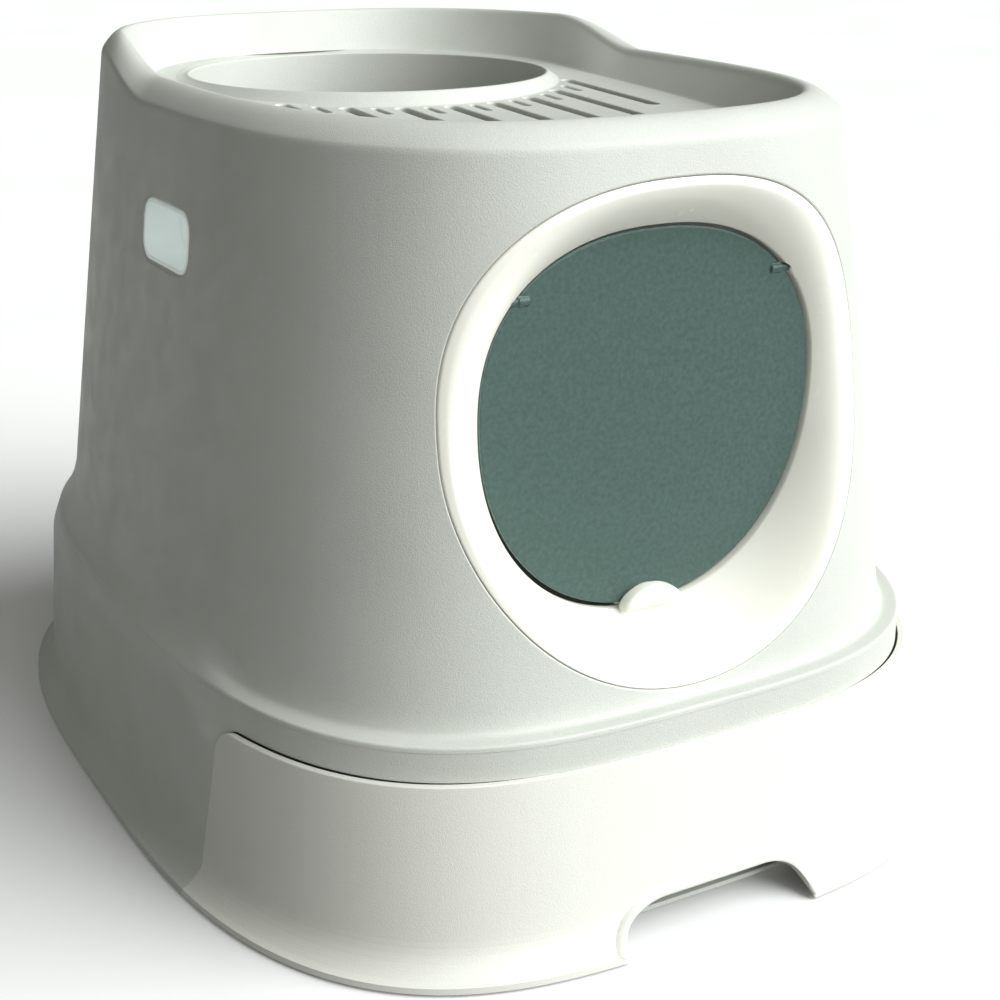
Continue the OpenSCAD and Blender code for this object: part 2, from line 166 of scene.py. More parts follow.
def bake(obj):
    """Applies an object's modifiers to its mesh."""
    graph = bpy.context.evaluated_depsgraph_get()
    mesh = bpy.data.meshes.new_from_object(obj.evaluated_get(graph))
    obj.modifiers.clear()
    old, obj.data = obj.data, mesh
    bpy.data.meshes.remove(old)


def joined(name, objects):
    """One object from several, each a closed shell of its own."""
    bm = bmesh.new()
    for obj in objects:
        bm.from_mesh(obj.data)
    mesh = bpy.data.meshes.new(name)
    bm.to_mesh(mesh)
    bm.free()
    for obj in objects:
        bpy.data.objects.remove(obj)
    result = bpy.data.objects.new(name, mesh)
    bpy.context.scene.collection.objects.link(result)
    return result


def combine(obj, tools, operation="DIFFERENCE"):
    """Cuts closed tools out of an object, or unites them with it."""
    for tool in tools:
        step = obj.modifiers.new("combine", "BOOLEAN")
        step.operation = operation
        step.solver = "EXACT"
        step.object = tool
    bake(obj)
    for tool in tools:
        bpy.data.objects.remove(tool)


def finish_surface(obj, angle=38):
    """Smooth shading with crisp edges kept, weighted by face area so flat faces stay even."""
    mesh = obj.data
    mesh.shade_smooth()
    mesh.set_sharp_from_angle(angle=math.radians(angle))
    step = obj.modifiers.new("even_normals", "WEIGHTED_NORMAL")
    step.keep_sharp = True
    step.weight = 80


def flare(radius, steps=4):
    """(offset, depth) pairs of a cutter's mouth that leaves a rounded edge of a given radius."""
    arc = np.linspace(0, math.pi / 2, steps + 1)
    pairs = [(radius * 3, -radius * 4), (radius * 1.5, -radius * 0.5)]
    return pairs + [(radius * (1 - math.sin(a)), radius * (1 - math.cos(a)) + 1e-3) for a in arc]


# ---------------------------------------------------------------- hood

FOOT_Z = 113.9
RIM_Z = 367.8
RIM_RISE = 15.2
CREST_INSET = 15.5
WALL_T = 3.0
WALL_LOW = [191, 259.7, 255, 3.235, 2.8, 0]
WALL_HIGH = [160.8, 220.9, 225.2, 2.887, 2.84, -13.7]
wall_high_y = outline_at(T, WALL_HIGH)[1]

ENTRY_R = 102.0
ENTRY_Y = 81.0
DECK_Z = 360.0
DECK_SLOPE = 0.04
DECK_T = 3.0
SKIRT = 20.0  # how far the entry's collar reaches below the deck's middle


def wall_outline(z):
    return mix_outlines(WALL_LOW, WALL_HIGH, (z - FOOT_Z) / (RIM_Z - FOOT_Z))


def wall_ring(z, grow=0.0):
    x, y = outline_at(T, wall_outline(z), grow)
    return ring(x, y, z)


def wall_y(x, z, depth=0.0):
    """Front wall of the hood at a depth below its face."""
    o = wall_outline(z)
    a, b = o[0] - depth, o[1] - depth
    return o[5] - b * (1 - (np.abs(x) / a) ** o[3]) ** (1 / o[3])


def wall_x(y, z, depth=0.0):
    """Half width of the hood's wall at a given y, in front of or behind the middle."""
    o = wall_outline(z)
    front = y < o[5]
    b = np.where(front, o[1], o[2]) - depth
    n = np.where(front, o[3], o[4])
    return (o[0] - depth) * (1 - (np.abs(y - o[5]) / b) ** n) ** (1 / n)


def climb(inset):
    """Share of the rim's rise that each meridian has; the outer edge starts to climb first."""
    start = mix(3, 25, min(1, inset / CREST_INSET))
    return smooth((wall_high_y - start) / 85)


def rim_ring(inset, height):
    up = RIM_RISE * climb(inset)
    drawn_in = inset * (1 - 0.3 * climb(CREST_INSET))
    x, y = outline_at(T, wall_outline(RIM_Z + up), -drawn_in)
    return ring(x, y, RIM_Z + up + height)


def deck_height(y):
    return DECK_Z + DECK_SLOPE * (y + 31)


def deck_ring(inset, height):
    edge = 25 + 9 * smooth((140 - wall_high_y) / 90)
    x, y = outline_at(T, wall_outline(RIM_Z), -edge - inset)
    return ring(x, y, deck_height(y) + height)


def foot_ring(side_z, side_out, front_z, front_out):
    """Ring of the hood's foot: height above the joint and offset from the wall, side and front."""
    z = JOINT_Z + mix(side_z, front_z, frontness)
    x, y = outline_at(T, wall_outline(np.maximum(z, FOOT_Z)), mix(side_out, front_out, frontness))
    return ring(x, y, z)


def entry_ring(r, z):
    """Circle round the top entry, met by the same meridians as the wall."""
    x, y = r * np.cos(T), ENTRY_Y + r * np.sin(T)
    return ring(x, y, z)


def collar_ring(r, above):
    """Ring of the collar, whose top is level while the deck climbs to meet it."""
    return entry_ring(r, DECK_Z + above)


def hood_rings():
    stack = []

    def add(radius, points):
        stack.append((radius, points))

    add(0.25, foot_ring(0, 9, 0, 9))
    add(1.4, foot_ring(2.0, 8.2, 2.9, 8.9))
    add(0.4, foot_ring(5, 6.2, 3.2, 6.0))
    add(3.0, foot_ring(9, 4.3, 3.6, 0.8))
    add(1.5, foot_ring(14, 2.5, 8, 0.2))
    add(2.0, foot_ring(20, 1, 12, 0))
    foot_top = foot_ring(29, 0, 29, 0)
    add(2.0, foot_top)
    top = RIM_Z - 8 + RIM_RISE * climb(0)
    for w in np.linspace(0, 1, 34)[1:]:
        add(0, wall_ring(mix(foot_top[:, 2], top, w)))
    add(3.2, rim_ring(0, 0))
    for inset in (2.0, 4.4, 7.0, 9.6, 12.2):
        add(0, rim_ring(inset, 10 * (1 - (1 - inset / CREST_INSET) ** 1.8)))
    add(1.6, rim_ring(CREST_INSET, 10))
    add(1.6, rim_ring(18, 9))
    inner_top = rim_ring(19.8, 6)
    add(1.0, inner_top)
    fold = deck_ring(0, 0)
    for points in between(inner_top, fold, 5):
        add(0, points)
    add(4.0, fold)
    collar_foot = entry_ring(ENTRY_R + 8, 0)
    collar_foot[:, 2] = deck_height(collar_foot[:, 1])
    for points in between(fold, collar_foot, 12):
        add(0, points)
    add(1.2, collar_foot)
    add(1.5, collar_ring(ENTRY_R + 3, 6.6))
    add(0.8, collar_ring(ENTRY_R + 1.6, 7.6))
    add(0.8, collar_ring(ENTRY_R, 7.2))
    for above in (4, 0, -6, -13):
        add(0, collar_ring(ENTRY_R, above))
    add(0.8, collar_ring(ENTRY_R, -SKIRT))
    add(0.8, collar_ring(ENTRY_R + 2.5, -SKIRT))
    under_collar = entry_ring(ENTRY_R + 4, 0)
    under_collar[:, 2] = deck_height(under_collar[:, 1]) - DECK_T
    add(1.0, under_collar)
    under_fold = deck_ring(-2.5, -DECK_T)
    for points in between(under_collar, under_fold, 6):
        add(0, points)
    add(2.0, under_fold)
    for inset, height in ((17.3, 5), (14, 6.8), (5, 2)):
        add(1.0, rim_ring(inset, height))
    add(1.5, rim_ring(WALL_T, -2))
    lip_top = foot_ring(29, -3, 29, -3)
    for w in np.linspace(1, 0, 14)[:-1]:
        add(0, wall_ring(mix(lip_top[:, 2], top, w), -WALL_T))
    add(1.0, lip_top)
    add(1.0, foot_ring(17, -2.4, 7, -3))
    add(0.6, foot_ring(8, -0.2, 2.2, -2))
    add(0.4, foot_ring(1, 1.5, 1, 1.5))
    add(0.4, foot_ring(-6, 1.5, -6, 1.5))
    add(0.6, foot_ring(-6, 4.5, -6, 4.5))
    add(0.4, foot_ring(0, 4.5, 0, 4.5))
    radii, rings = zip(*stack)
    return rounded(rings, radii)


SLOT_PITCH = 13.2
SLOT_COUNT = 16


def capsule(half_w, y0, y1, grow):
    """Outline of a slot along Y with round ends."""
    r = half_w + grow
    arc = np.linspace(0, math.pi, 13)
    far = np.stack([r * np.cos(arc), y1 + r * np.sin(arc)], axis=-1)
    near = np.stack([-r * np.cos(arc), y0 - r * np.sin(arc)], axis=-1)
    return np.vstack([far, near])


def slot_cutter(i):
    x = (i - (SLOT_COUNT - 1) / 2) * SLOT_PITCH
    long_slot = i % 2 == 1
    width, length = (7.0, 88.0) if long_slot else (3.5, 16.0)
    back = ENTRY_Y - math.sqrt((ENTRY_R + 13) ** 2 - x * x)
    rings = []
    for grow, depth in flare(0.9) + [(0, 20)]:
        points = capsule(width / 2, back - length, back, grow)
        rings.append(ring(x + points[:, 0], points[:, 1], deck_height(points[:, 1]) - depth))
    return loft("slot", rings, closed=False)


HANDLE_Y, HANDLE_Z = -36.0, 308.0
HANDLE_L, HANDLE_H, HANDLE_CORNER = 64.0, 31.0, 11.0


def handle_outline(grow):
    corner = HANDLE_CORNER + grow
    points = []
    for quarter in range(4):
        sy = 1 if quarter in (0, 3) else -1
        sz = 1 if quarter < 2 else -1
        for a in np.linspace(0, math.pi / 2, 9):
            turn = quarter * math.pi / 2 + a
            points.append((
                HANDLE_Y + sy * (HANDLE_L / 2 - HANDLE_CORNER) + corner * math.cos(turn),
                HANDLE_Z + sz * (HANDLE_H / 2 - HANDLE_CORNER) + corner * math.sin(turn),
            ))
    return np.asarray(points)


def handle_cutter(side):
    mouth = []
    for grow, depth in flare(1.6):
        p = handle_outline(grow)
        mouth.append(ring(side * (wall_x(p[:, 0], p[:, 1]) - depth), p[:, 0], p[:, 1]))
    outside, inside = mouth[0].copy(), mouth[-1].copy()
    outside[:, 0], inside[:, 0] = side * 200.0, side * 140.0
    return loft("handle_hole", [outside, *mouth, inside], closed=False)


def make_hood():
    obj = loft("hood_body", hood_rings())
    cutters = [slot_cutter(i) for i in range(SLOT_COUNT)]
    cutters += [handle_cutter(-1), handle_cutter(1), door_cutter()]
    combine(obj, [joined("cutters", cutters)])
    finish_surface(obj)
    return obj


CUP_INNER_X = 146.3
CUP_T = 2.1
CUP_GAP = 0.3


def make_cup(side):
    """Open cup behind a handle hole: a rounded rim, straight sides and a flat bottom."""

    def wall(grow, depth):
        p = handle_outline(grow)
        return ring(side * wall_x(p[:, 0], p[:, 1], depth), p[:, 0], p[:, 1])

    def flat(grow, x):
        p = handle_outline(grow)
        return ring(np.full(len(p), side * x), p[:, 0], p[:, 1])

    outer = -CUP_GAP
    inner = outer - CUP_T
    floor_x = CUP_INNER_X + CUP_T
    outside = [(0, flat(-9, CUP_INNER_X)), (0.8, flat(outer, CUP_INNER_X)), (0, wall(outer, 8))]
    rim = [(0.5, wall(outer, 0.5)), (0.5, wall(inner, 0.5))]
    inside = [(0, wall(inner, 8)), (2.5, flat(inner - 0.3, floor_x)), (0, flat(-9, floor_x))]
    radii, rings = zip(*outside, *rim, *inside)
    name = "cup_left" if side < 0 else "cup_right"
    obj = loft(name, rounded(rings, radii, steps=3), closed=False)
    finish_surface(obj)
    # The cup's finish paints light: its emission brightens the shaded inside of the cup.
    obj["look"] = "painted_light_white"
    return obj


# ---------------------------------------------------------------- door
# A door outline is [half width, height above its middle, height below, upper power, lower power,
# middle z].

DOOR_OUTER = [114.3, 112.9, 119.1, 2.44, 2.0, 239.0]
DOOR_INNER = [92.2, 81.0, 102.9, 2.32, 2.145, 247.4]
FLAP_EDGE = [90.5, 79.3, 100.5, 2.32, 2.145, 247.4]
FLAP_Y = -215.0
FLAP_T = 2.6
HINGE_Z = 301.0
PIN_R = 2.0
EAR_X = 77.0
HINGE_RELIEF_R = 3.5
BAND = 0.14  # share of the way in that stays flush with the hood
FUNNEL_LIP_Y = FLAP_Y - 2.5
TUNNEL_Y = FLAP_Y + 16
F = np.linspace(0, 2 * math.pi, DOOR_AROUND, endpoint=False)


def door_points(o, grow=0.0):
    up = np.sin(F) > 0
    b = np.where(up, o[1], o[2]) + grow
    n = np.where(up, o[3], o[4])
    r = ((np.abs(np.cos(F)) / (o[0] + grow)) ** n + (np.abs(np.sin(F)) / b) ** n) ** (-1 / n)
    return r * np.cos(F), o[5] + r * np.sin(F)


def flange_ring(grow, depth):
    x, z = door_points(DOOR_OUTER, grow)
    return ring(x, wall_y(x, z, depth), z)


def door_cutter():
    """Tool for the door's hole: a rounded mouth on the hood's face, then straight back."""
    mouth = [flange_ring(0.35 + grow, depth) for grow, depth in flare(0.9)]
    ahead, behind = mouth[0].copy(), mouth[-1].copy()
    ahead[:, 1], behind[:, 1] = -300.0, -185.0
    return loft("door_hole", [ahead, *mouth, behind], closed=False)


def funnel_ring(s, behind=0.0):
    outer, inner = door_points(DOOR_OUTER), door_points(DOOR_INNER)
    x, z = mix(outer[0], inner[0], s), mix(outer[1], inner[1], s)
    way = max(0.0, (s - BAND) / (1 - BAND)) ** 1.25
    return ring(x, mix(wall_y(x, z), FUNNEL_LIP_Y, way) + behind, z)


def tunnel_ring(grow, y):
    x, z = door_points(DOOR_INNER, grow)
    return ring(x, np.full_like(x, y), z)


def make_bezel():
    stack = [(0.6, flange_ring(-0.05, 0.1)), (0, funnel_ring(0.05)), (0, funnel_ring(0.1))]
    stack += [(0, funnel_ring(s)) for s in np.linspace(BAND, 0.97, 26)]
    stack += [
        (1.0, funnel_ring(1)),
        (1.0, tunnel_ring(0, FLAP_Y + 2)),
        (0, tunnel_ring(2.5, FLAP_Y + 8)),
        (0.8, tunnel_ring(5.9, TUNNEL_Y)),
        (0.8, tunnel_ring(8.3, TUNNEL_Y)),
        (1.0, tunnel_ring(3.4, FLAP_Y + 5)),
        (0, funnel_ring(0.8, 5)),
        (0, funnel_ring(0.6, 4.8)),
        (0, funnel_ring(0.4, 4.6)),
        (1.0, flange_ring(-3, 6)),
        (0.5, flange_ring(8, 6)),
        (0.5, flange_ring(8, WALL_T + 0.4)),
        (0.4, flange_ring(-0.05, WALL_T + 0.4)),
    ]
    radii, rings = zip(*stack)
    body = loft("door_ring", rounded(rings, radii))
    ears = [rod(PIN_R + 1.8, side, EAR_X, EAR_X + 7.6) for side in (-1, 1)]
    ears.append(block((-11, FLAP_Y - 7, 134), (11, FLAP_Y + 8, 143), 1.0))
    combine(body, ears, "UNION")
    bores = [rod(PIN_R + 0.05, side, EAR_X - 5, EAR_X + 6, 0) for side in (-1, 1)]
    bores += [rod(HINGE_RELIEF_R, side, EAR_X - 7, EAR_X - 1, 0) for side in (-1, 1)]
    bores.append(block((-8.1, FLAP_Y - 5.1, 135.9), (8.1, FLAP_Y + 6.1, 141.1), 0))
    combine(body, bores)
    finish_surface(body)
    return body


def rod(radius, side, near, far, edge=0.5):
    """Round bar on the hinge axis, between two distances from the middle, with softened ends."""
    turn = np.linspace(0, 2 * math.pi, 48, endpoint=False)
    ends = (
        (near, radius - edge),
        (near + edge, radius),
        (far - edge, radius),
        (far, radius - edge),
    )
    rings = [
        ring(np.full_like(turn, side * x), FLAP_Y + r * np.cos(turn), HINGE_Z + r * np.sin(turn))
        for x, r in (ends if edge else ends[::3])
    ]
    return loft("rod", rings, closed=False)


def block(low, high, edge):
    """Box between two corners; a bevel rounds its edges when edge is above zero."""
    xs, ys, zs = zip(low, high)
    points = [(x, y, z) for z in zs for y in ys for x in xs]
    faces = [(0, 2, 3, 1), (4, 5, 7, 6), (0, 1, 5, 4), (2, 6, 7, 3), (0, 4, 6, 2), (1, 3, 7, 5)]
    obj = mesh_object("block", points, faces)
    if edge > 0:
        step = obj.modifiers.new("soften", "BEVEL")
        step.width = edge * MM
        step.segments = 3
        bake(obj)
    return obj


def plate(name, outline, y0, y1, edge):
    """Upright plate with rounded edges; outline(grow) gives its x and z points."""

    def upright(grow, y):
        x, z = outline(grow)
        return ring(x, np.full_like(x, y), z)

    arc = np.linspace(0, math.pi / 2, 5)
    rim = [(-edge * (1 - math.sin(a)), edge * (1 - math.cos(a))) for a in arc]
    stack = [upright(grow, y0 + depth) for grow, depth in rim]
    stack += [upright(grow, y1 - depth) for grow, depth in rim[::-1]]
    ends = [mix(face, face.mean(axis=0), 0.3) for face in (stack[0], stack[-1])]
    return loft(name, [ends[0], *stack, ends[1]], closed=False)


HOLDER_Z = 146.0
BARREL_X = 71.4


def dome(half_w, height, z0, grow):
    """Half-round outline on a flat foot."""
    arc = np.linspace(0, math.pi, 65)
    x = (half_w + grow) * np.cos(arc)
    z = np.maximum(z0 + (height + grow) * np.sin(arc), z0 - grow)
    foot = np.linspace(-1, 1, 17)[1:-1] * (half_w + grow)
    return np.concatenate([x, foot]), np.concatenate([z, np.full_like(foot, z0 - grow)])


def make_flap():
    near, far = FLAP_Y - FLAP_T / 2, FLAP_Y + FLAP_T / 2
    body = plate("swing_door", lambda g: door_points(FLAP_EDGE, g), near, far, 0.9)
    notch = plate("notch", lambda g: dome(13.2, 9.8, HOLDER_Z - 1, g), FLAP_Y - 6, FLAP_Y + 6, 0.01)
    combine(body, [notch])
    barrels = [rod(PIN_R + 0.7, side, BARREL_X - 6, BARREL_X) for side in (-1, 1)]
    combine(body, barrels, "UNION")
    combine(body, [rod(PIN_R, side, BARREL_X - 5.4, BARREL_X + 9.8, 0) for side in (-1, 1)])
    finish_surface(body)
    # Painted highlight: the flap's edge faces take a lighter tint, as if light were caught in the
    # sheet's edge.
    body["rim_finish"] = "smoke_painted_edge_highlight"
    return body


def make_holder():
    front, half = FLAP_Y - 11, FLAP_T / 2
    cap = plate("cap", lambda g: dome(16.5, 10.6, HOLDER_Z, g), front, FLAP_Y - half, 3.0)
    core_front, core_back = FLAP_Y - half - 0.5, FLAP_Y + half + 1
    core = plate("core", lambda g: dome(13, 9.6, HOLDER_Z, g), core_front, core_back, 0.1)
    back = plate("back", lambda g: dome(15, 11, HOLDER_Z, g), FLAP_Y + half, FLAP_Y + half + 4, 1.0)
    holder = joined("holder", [cap, core, back])
    finish_surface(holder, 50)
    return holder


# ---------------------------------------------------------------- base and drawer

BASE_LOW_Z, BASE_HIGH_Z = 24.0, 100.0
BASE_LOW = [207.5, 277.5, 276.9, 3.3, 2.92, 0]
BASE_HIGH = [203.2, 270, 267, 3.33, 2.84, 0]
FOOT_OUT, FOOT_TOP = 9.1, 4.5
FLARE_OUT, FLARE_FOOT, FLARE_TOP, FLARE_POWER = 6.9, 5.5, 24.0, 3.2
FOOT_ROWS = (FOOT_TOP, FLARE_FOOT, 6.4, 7.4, 8.6, 10, 11.6, 13.4, 15.4, 18, 21, FLARE_TOP)
FLANGE_Z = 1.0
BAR_Z = 96.5
SEAM_R = 14.0
DRAWER_GAP = 0.12
DRAWER_FOOT = 1.5


def base_outline(z):
    o = mix_outlines(BASE_LOW, BASE_HIGH, (z - BASE_LOW_Z) / (BASE_HIGH_Z - BASE_LOW_Z))
    rise = np.clip((FLARE_TOP - z) / (FLARE_TOP - FLARE_FOOT), 0, 1)
    lip = np.clip((FLARE_FOOT - z) / (FLARE_FOOT - FOOT_TOP), 0, 1)
    out = mix(FLARE_OUT * rise ** FLARE_POWER, FOOT_OUT, lip)
    return [o[0] + out, o[1] + out, o[2] + out, o[3], o[4], o[5]]


def base_ring(z, grow=0.0):
    """Ring of the base's wall; near its top the front is upright and the sides are bevelled."""
    bevel = max(0.0, (z - BASE_HIGH_Z) / (JOINT_Z - BASE_HIGH_Z))
    side = mix_outlines(base_outline(min(z, BASE_HIGH_Z)), JOINT, bevel)
    w = frontness * smooth((z - 84) / 11)
    side_x, side_y = outline_at(T, side, grow)
    front_x, front_y = outline_at(T, JOINT, grow)
    return ring(mix(side_x, front_x, w), mix(side_y, front_y, w), z)


def seam_y(z):
    return -130.4 - 0.18 * z


def seam_ends(z, top, grow):
    """Y of the drawer front's edge at height z, with its rounded upper corner."""
    corner = SEAM_R + grow
    middle = top - SEAM_R
    y = seam_y(z) + grow
    low_y = seam_y(middle) - SEAM_R
    lift = np.clip((z - middle) / corner, 0, 1)
    return np.where(z > middle, low_y + corner * np.sqrt(np.maximum(0, 1 - lift ** 2)), y)


def skin_rows(grow, foot, top, depth, columns=200):
    """Rows of the drawer front's skin: from one seam round the front to the other."""
    low = np.linspace(foot, top - SEAM_R, 26)
    corner = SEAM_R + grow
    high = top - SEAM_R + corner * np.sin(np.linspace(0, 1, 15)[1:] * math.pi / 2 * 0.985)
    extra = [z for z in FOOT_ROWS if z > foot]
    rows = []
    for z in sorted([*low, *high, *extra]):
        o = base_outline(z)
        end_y = float(seam_ends(z, top, grow))
        end_x = (o[0] - depth) * (1 - (abs(end_y) / (o[1] - depth)) ** o[3]) ** (1 / o[3])
        start = math.atan2(end_y, end_x)
        t = np.linspace(-math.pi - start, start, columns)
        x, y = outline_at(t, o, -depth)
        rows.append(ring(x, y, z))
    return rows


def drawer_sheet(name, layers, top):
    """Closed solid from copies of the drawer front's skin, each (grow, depth, foot height)."""
    sheets = [np.asarray(skin_rows(grow, foot_z, top, depth)) for grow, depth, foot_z in layers]
    rows, columns = sheets[0].shape[:2]
    points = np.concatenate([s.reshape(-1, 3) for s in sheets])
    size = rows * columns
    faces = quads(rows, columns, False, False).tolist()
    back = [[c + (len(sheets) - 1) * size for c in f[::-1]] for f in faces]
    edge = [(0, j) for j in range(columns)]
    edge += [(i, columns - 1) for i in range(1, rows)]
    edge += [(rows - 1, j) for j in range(columns - 2, -1, -1)]
    edge += [(i, 0) for i in range(rows - 2, 0, -1)]
    loop = [i * columns + j for i, j in edge]
    sides = []
    for k in range(len(sheets) - 1):
        for a, b in zip(loop, loop[1:] + loop[:1]):
            sides.append([a + k * size, b + k * size, b + (k + 1) * size, a + (k + 1) * size])
    return mesh_object(name, points, faces + back + sides)


def drawer_outer_y(x, z, depth=0.0):
    o = base_outline(z)
    return -(o[1] - depth) * (1 - (np.abs(x) / (o[0] - depth)) ** o[3]) ** (1 / o[3])


NOTCH_X = 3.0
FOOT_REACH = 288.0  # no part of the bead stands further forward than the foot flange
NOTCH_HALF_TOP, NOTCH_HALF_FOOT, NOTCH_TOP = 28.0, 54.0, 23.0


def notch_shape(grow):
    """The hand notch's outline grown by a distance: a flat top between two round shoulders."""
    arc = np.linspace(0, math.pi / 2, 19)
    run = NOTCH_HALF_FOOT - NOTCH_HALF_TOP + grow
    left_x = -NOTCH_HALF_TOP - run * np.cos(arc)
    left_z = (NOTCH_TOP + grow) * np.sin(arc)
    flat_x = np.linspace(-NOTCH_HALF_TOP, NOTCH_HALF_TOP, 15)[1:-1]
    x = np.concatenate([left_x[:1], left_x, flat_x, -left_x[::-1], -left_x[:1]])
    z = np.concatenate([[-10], left_z, np.full_like(flat_x, NOTCH_TOP + grow), left_z[::-1], [-10]])
    return NOTCH_X + x, z


def notch_ring(grow, depth):
    x, z = notch_shape(grow)
    return ring(x, drawer_outer_y(x, np.maximum(z, DRAWER_FOOT)) + depth, z)


def notch_cutter():
    mouth = [notch_ring(grow, depth) for grow, depth in flare(1.3)]
    ahead, behind = mouth[0].copy(), mouth[-1].copy()
    ahead[:, 1], behind[:, 1] = -310.0, -255.0
    return loft("notch", [ahead, *mouth, behind], closed=False)


def notch_lip():
    """Raised bead round the notch, with its foot sunk in the drawer front."""
    profile = [(6.6, 0.6), (5.6, -0.3), (4.2, -1.5), (2.6, -1.9), (1.2, -1.3)]
    profile += [(0.5, 0.0), (0.4, 1.5), (3.5, 2.4)]
    rows = np.asarray([notch_ring(grow, depth)[3:-3] for grow, depth in profile])
    rows[..., 1] = np.maximum(rows[..., 1], -FOOT_REACH)
    return strip("notch_lip", rows)


def make_drawer_front():
    edge = 0.55
    arc = np.linspace(0, math.pi / 2, 4)
    skins = [(-edge * (1 - math.sin(a)), edge * (1 - math.cos(a))) for a in arc]
    skins += [(0, WALL_T - 0.3), (-0.3, WALL_T)]
    layers = [(grow - DRAWER_GAP, depth, DRAWER_FOOT) for grow, depth in skins]
    body = drawer_sheet("drawer_face", layers, BAR_Z)
    combine(body, [notch_cutter()])
    combine(body, [notch_lip()], "UNION")
    finish_surface(body)
    return body


def make_base():
    stack = []
    stack += [(0.6, base_ring(FLANGE_Z)), (0.5, base_ring(FOOT_TOP)), (0.4, base_ring(FLARE_FOOT))]
    stack += [(0, base_ring(z)) for z in FOOT_ROWS[2:]]
    stack += [(0, base_ring(z)) for z in np.linspace(30, 84, 10)]
    stack += [(0, base_ring(z)) for z in (87, 90, 93, 96)]
    stack += [(1.6, base_ring(BASE_HIGH_Z)), (0, base_ring(105)), (0.25, base_ring(JOINT_Z))]
    stack += [(0.5, base_ring(JOINT_Z, -WALL_T)), (1.0, base_ring(BASE_HIGH_Z, -WALL_T))]
    stack += [(0, base_ring(z, -WALL_T)) for z in (94, 88, 84, 60, 42)]
    stack += [(1.0, base_ring(z, -WALL_T)) for z in (24, 17, 12, 8)]
    stack.append((0.6, base_ring(FLANGE_Z, -WALL_T)))
    radii, rings = zip(*stack)
    body = loft("base_body", rounded(rings, radii))
    layers = [(grow, depth, -8.0) for grow, depth in flare(0.25)] + [(0, 26, -8.0)]
    combine(body, [drawer_sheet("drawer_opening", layers, BAR_Z)])
    finish_surface(body)
    return body


def make_base_inside():
    """Floor of the base and the ledge under its front bar."""
    wide = base_ring(6, -WALL_T / 2)
    ahead = base_ring(60, -14)
    plan = np.where(wide[:, 1:2] > -125, wide, ahead)
    rings = []
    for z, grow in ((4, 0.4), (4.4, 0), (6.1, 0), (6.5, 0.4)):
        scaled = plan.copy()
        scaled[:, :2] *= 1 - grow / 250
        scaled[:, 2] = z
        rings.append(scaled)
    floor_plate = loft("base_floor", rings, closed=False)
    outer, inner = base_ring(98, -WALL_T / 2), base_ring(98, -14)
    use = outer[:, 1] < -150
    ledge = [np.where([[True, True, False]], ends[use], z) for ends, z in (
        (outer, BAR_Z), (outer, BAR_Z + 2.5), (inner, BAR_Z + 2.5), (inner, BAR_Z))]
    obj = joined("base_inside", [floor_plate, strip("ledge", ledge)])
    finish_surface(obj)
    return obj


RAIL_TOP = 8.8
TRAY_BOTTOM = RAIL_TOP + 0.2
TRAY_TOP = 92.0
TRAY_T = 2.6
TRAY_LOW = [178, 254, 230, 3.3, 3.4, 0]
TRAY_HIGH = [184, 261, 237, 3.3, 3.4, 0]


def tray_ring(z, grow):
    o = mix_outlines(TRAY_LOW, TRAY_HIGH, (z - TRAY_BOTTOM) / (TRAY_TOP - TRAY_BOTTOM))
    x, y = outline_at(T, o, grow)
    return ring(x, y, z)


def make_tray():
    b, t = TRAY_BOTTOM, TRAY_TOP
    stack = [(0, tray_ring(b, -60)), (0, tray_ring(b, -12))]
    stack += [(1.5, tray_ring(b, -4)), (2.0, tray_ring(b + 4, 0))]
    stack += [(0, tray_ring(z, 0)) for z in np.linspace(b + 14, t - 12, 7)]
    stack += [(1.0, tray_ring(t - 5, 0)), (0.8, tray_ring(t - 4, 3))]
    stack += [(1.0, tray_ring(t - 0.4, 3.4)), (1.0, tray_ring(t, 2.2)), (1.2, tray_ring(t, -2.4))]
    stack += [(0, tray_ring(z, -TRAY_T)) for z in np.linspace(t - 8, b + 20, 6)]
    stack += [(5.0, tray_ring(b + 6, -TRAY_T - 1)), (5.0, tray_ring(b + TRAY_T, -TRAY_T - 8))]
    stack += [(0, tray_ring(b + TRAY_T, -30)), (0, tray_ring(b + TRAY_T, -90))]
    radii, rings = zip(*stack)
    obj = loft("tray", rounded(rings, radii, closed=False), closed=False)
    finish_surface(obj)
    return obj


# ---------------------------------------------------------------- materials


